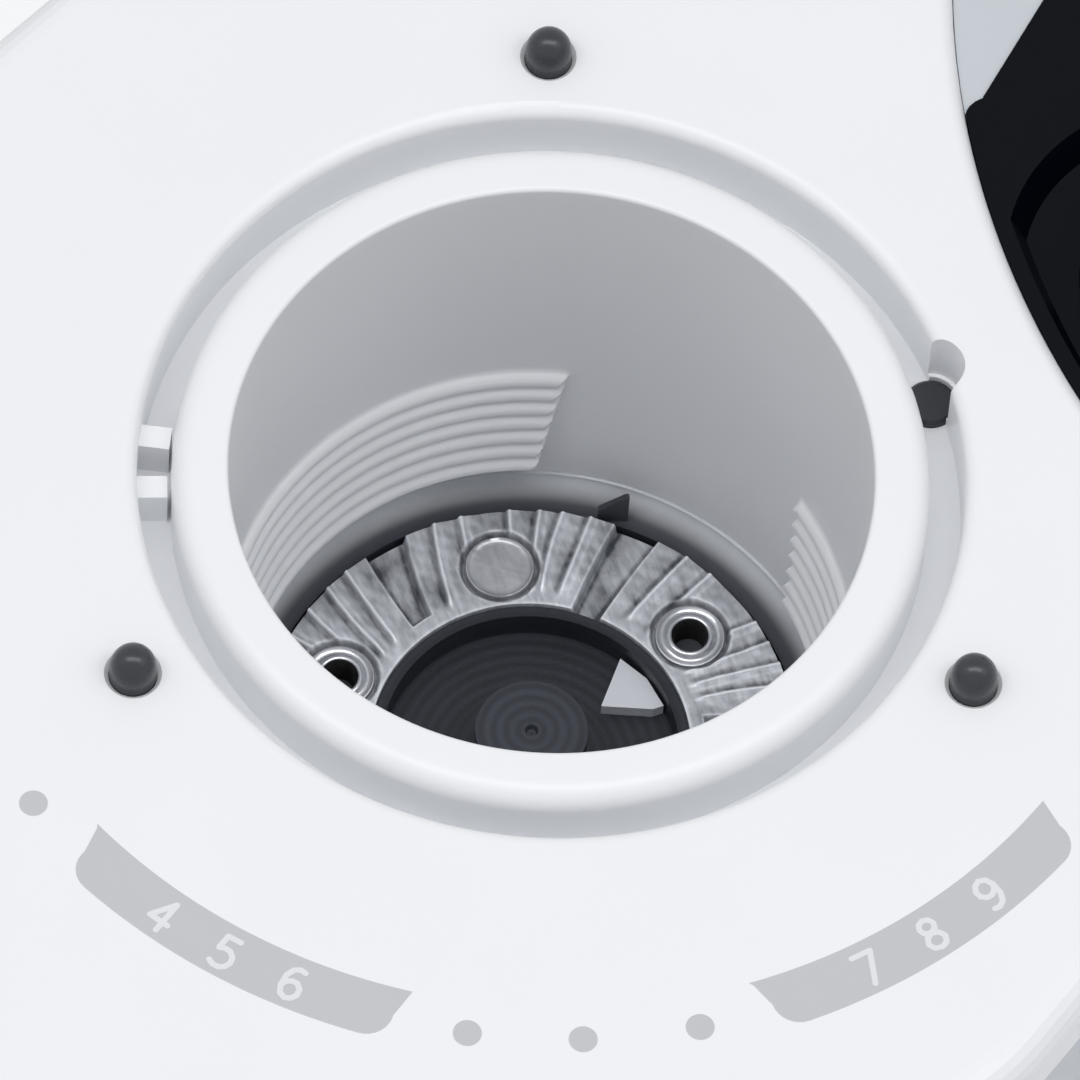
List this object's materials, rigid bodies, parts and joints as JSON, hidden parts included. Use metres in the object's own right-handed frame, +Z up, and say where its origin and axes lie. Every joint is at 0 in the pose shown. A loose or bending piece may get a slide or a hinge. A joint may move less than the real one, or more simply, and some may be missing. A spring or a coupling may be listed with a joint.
{
  "type": "burr coffee grinder",
  "caption": "Compact flat-burr coffee grinder with an open threaded burr collar, spring detent pins, a timer dial, a start button and a slide-out grounds jar.",
  "frame": {"origin": "on the table, straight below the burr axis", "axes": "+Z up along the burr axis, -Y towards the nose with the dial and the grounds jar, +X to the right seen from behind the nose looking along +Y"},
  "size_m": [0.1378, 0.1933, 0.2048],
  "materials": {
    "white_plastic": "satin white ABS",
    "silver_plastic": "satin silver-grey lacquered ABS",
    "black_panel": "high gloss",
    "dark_plastic": "fine moulded",
    "grey_plastic": "moulded",
    "smoky_plastic": "clear smoked",
    "rubber": "matt",
    "burr_steel": "cast and ground",
    "bright_steel": "plated",
    "spring_steel": "drawn wire",
    "brass": "turned",
    "gear_nylon": "natural nylon",
    "board_green": "solder mask",
    "motor_steel": "drawn can"
  },
  "bodies": {
    "housing": {"top_deck": "white_plastic", "burr_collar": "white_plastic", "body_shell": "silver_plastic", "base_plate": "dark_plastic", "rubber_feet": "rubber", "base_screws": "bright_steel", "head_cover": "silver_plastic", "head_floor": "silver_plastic", "bay_liner": "dark_plastic", "control_panel": "black_panel", "start_switch": "dark_plastic", "timer_board": "board_green", "grind_housing": "grey_plastic", "grind_chute": "dark_plastic", "chamber_ring": "dark_plastic", "spindle_bearings": "bright_steel", "motor": "motor_steel", "motor_plate": "bright_steel", "motor_screws": "bright_steel", "frame_screws": "bright_steel", "deck_screws": "bright_steel", "detent_spring_rear": "spring_steel", "detent_spring_left": "spring_steel", "detent_spring_right": "spring_steel", "spring_caps": "dark_plastic", "interlock_switch": "dark_plastic", "cord_gland": "rubber"},
    "burr_rotor": {"lower_burr": "burr_steel", "burr_carrier": "dark_plastic", "burr_rivets": "bright_steel", "burr_eyelets": "bright_steel", "bean_paddle": "grey_plastic", "spindle": "bright_steel", "drive_gear": "gear_nylon"},
    "motor_rotor": {"motor_pinion": "brass"},
    "pin_rear": {"detent_pin_rear": "dark_plastic"},
    "pin_left": {"detent_pin_left": "dark_plastic"},
    "pin_right": {"detent_pin_right": "dark_plastic"},
    "plunger": {"interlock_plunger": "dark_plastic"},
    "dial": {"timer_dial": "dark_plastic"},
    "button": {"start_button": "black_panel"},
    "jar": {"grounds_jar": "smoky_plastic", "jar_lid": "dark_plastic"}
  },
  "joints": [
    {"name": "burr_spin", "type": "hinge", "parent": "housing", "child": "burr_rotor", "pos_m": [0, 0, 0.15], "axis": [0, 0, 1], "continuous": true},
    {"name": "motor_spin", "type": "hinge", "parent": "housing", "child": "motor_rotor", "pos_m": [0, 0.034, 0.11], "axis": [0, 0, 1], "continuous": true},
    {"name": "pin_rear_press", "type": "slide", "parent": "housing", "child": "pin_rear", "axis": [0, 0, -1], "range_m": [0, 0.003], "stiffness_N_per_m": 300, "springref_m": -0.004, "deforming": ["detent_spring_rear"]},
    {"name": "pin_left_press", "type": "slide", "parent": "housing", "child": "pin_left", "axis": [0, 0, -1], "range_m": [0, 0.003], "stiffness_N_per_m": 300, "springref_m": -0.004, "deforming": ["detent_spring_left"]},
    {"name": "pin_right_press", "type": "slide", "parent": "housing", "child": "pin_right", "axis": [0, 0, -1], "range_m": [0, 0.003], "stiffness_N_per_m": 300, "springref_m": -0.004, "deforming": ["detent_spring_right"]},
    {"name": "plunger_press", "type": "slide", "parent": "housing", "child": "plunger", "axis": [0, 0, -1], "range_m": [0, 0.002], "stiffness_N_per_m": 200, "springref_m": -0.003},
    {"name": "dial_turn", "type": "hinge", "parent": "housing", "child": "dial", "pos_m": [0, -0.059, 0.2], "axis": [0, 0, -1], "range_deg": [0, 270]},
    {"name": "button_press", "type": "slide", "parent": "housing", "child": "button", "axis": [0, 1, 0], "range_m": [0, 0.0025], "stiffness_N_per_m": 400, "springref_m": -0.002},
    {"name": "jar_slide", "type": "slide", "parent": "housing", "child": "jar", "axis": [0, -1, 0], "range_m": [0, 0.11]}
  ],
  "couplings": [
    {"joint": "motor_spin", "follows": "burr_spin", "ratio": -3}
  ]
}
